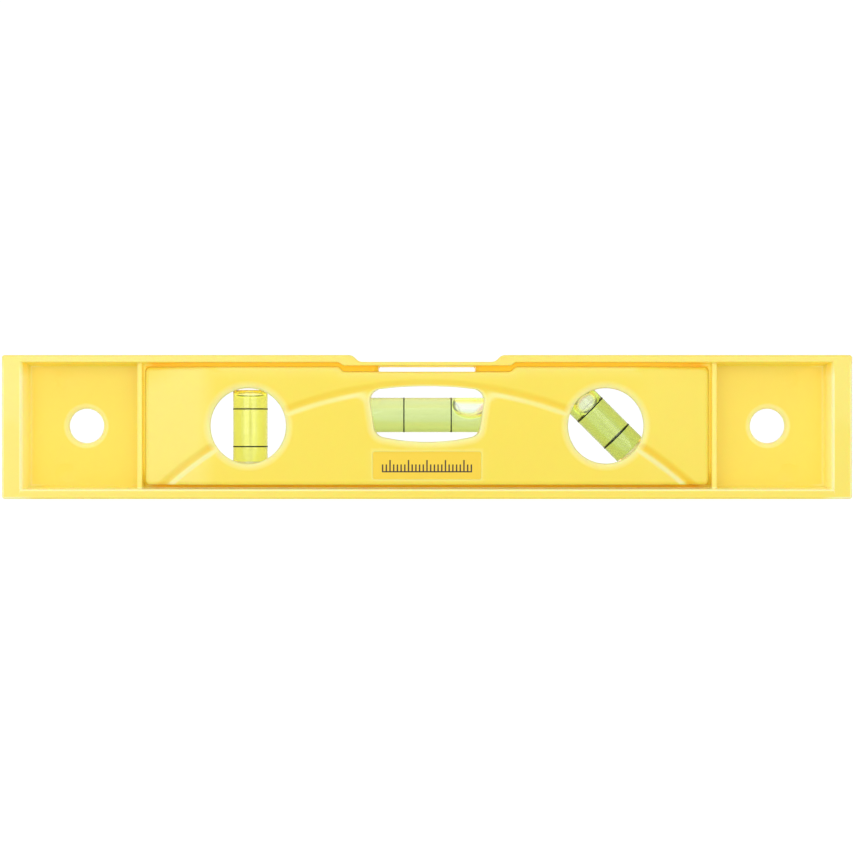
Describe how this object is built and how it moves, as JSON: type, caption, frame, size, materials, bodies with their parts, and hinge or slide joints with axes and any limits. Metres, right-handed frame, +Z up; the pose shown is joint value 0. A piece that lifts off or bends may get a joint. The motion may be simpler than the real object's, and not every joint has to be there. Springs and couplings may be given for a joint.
{
  "type": "spirit level",
  "caption": "Small plastic torpedo spirit level with level, plumb and 45 degree bubble vials behind snap-in cover plates.",
  "frame": {"origin": "middle of the base face", "axes": "+X along the level towards the 45 degree vial, -Y out of the front face, +Z up from the base"},
  "size_m": [0.23, 0.02, 0.039],
  "materials": {
    "body_plastic": "satin",
    "cover_plastic": "satin",
    "label_print": "matte",
    "vial_acrylic": "polished",
    "vial_plug": "gloss",
    "spirit_green": "polished",
    "spirit_yellow": "polished",
    "bubble": "polished",
    "marker_line": "matte"
  },
  "bodies": {
    "frame": {"frame_body": "body_plastic", "front_cover": "cover_plastic", "rear_cover": "cover_plastic", "front_label": "label_print", "level_vial_tube": "vial_acrylic", "level_vial_plug": "vial_plug", "level_vial_spirit": "spirit_green", "level_vial_lines": "marker_line", "plumb_vial_tube": "vial_acrylic", "plumb_vial_plug": "vial_plug", "plumb_vial_spirit": "spirit_yellow", "plumb_vial_lines": "marker_line", "angle_vial_tube": "vial_acrylic", "angle_vial_plug": "vial_plug", "angle_vial_spirit": "spirit_green", "angle_vial_lines": "marker_line"},
    "level_bubble": {"level_vial_bubble": "bubble"},
    "plumb_bubble": {"plumb_vial_bubble": "bubble"},
    "angle_bubble": {"angle_vial_bubble": "bubble"}
  },
  "joints": [
    {"name": "level_bubble_slide", "type": "slide", "parent": "frame", "child": "level_bubble", "axis": [-1, 0, 0], "range_m": [0, 0.0236], "stiffness_N_per_m": 10, "deforming": ["level_vial_spirit"]},
    {"name": "plumb_bubble_slide", "type": "slide", "parent": "frame", "child": "plumb_bubble", "axis": [0, 0, -1], "range_m": [0, 0.0172], "stiffness_N_per_m": 10, "deforming": ["plumb_vial_spirit"]},
    {"name": "angle_bubble_slide", "type": "slide", "parent": "frame", "child": "angle_bubble", "axis": [0.7071, 0, -0.7071], "range_m": [0, 0.0146], "stiffness_N_per_m": 10, "deforming": ["angle_vial_spirit"]}
  ]
}
